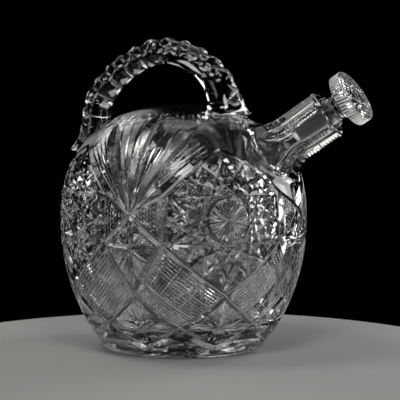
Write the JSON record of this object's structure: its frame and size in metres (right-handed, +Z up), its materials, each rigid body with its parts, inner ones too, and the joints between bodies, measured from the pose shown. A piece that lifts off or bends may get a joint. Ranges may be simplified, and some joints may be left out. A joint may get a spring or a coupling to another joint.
{
  "type": "rum jug",
  "caption": "Globular wheel-cut clear glass jug with a flat base, loop handle over the dome, slanted pouring neck and a lift-out ground stopper.",
  "frame": {"origin": "centre of the base, on the table", "axes": "+Z up along the body's axis, +X towards the side that the neck leans to, Y across handle and neck"},
  "size_m": [0.2019, 0.156, 0.195],
  "materials": {
    "body_crystal": "clear lead crystal, wheel-cut facets polished bright, matt grey only in the hatching",
    "handle_crystal": "clear lead crystal, fire-smooth inside, polished thumbprint cuts outside",
    "stopper_crystal": "clear lead crystal, polished star-cut face, finely notched rim, ground matt plug"
  },
  "bodies": {
    "jug": {"jug_body": "body_crystal", "neck": "body_crystal", "handle": "handle_crystal"},
    "stopper": {"stopper": "stopper_crystal"}
  },
  "joints": [
    {"name": "stopper_lift", "type": "slide", "parent": "jug", "child": "stopper", "axis": [0.829, 0, 0.5592], "range_m": [0, 0.06]}
  ]
}
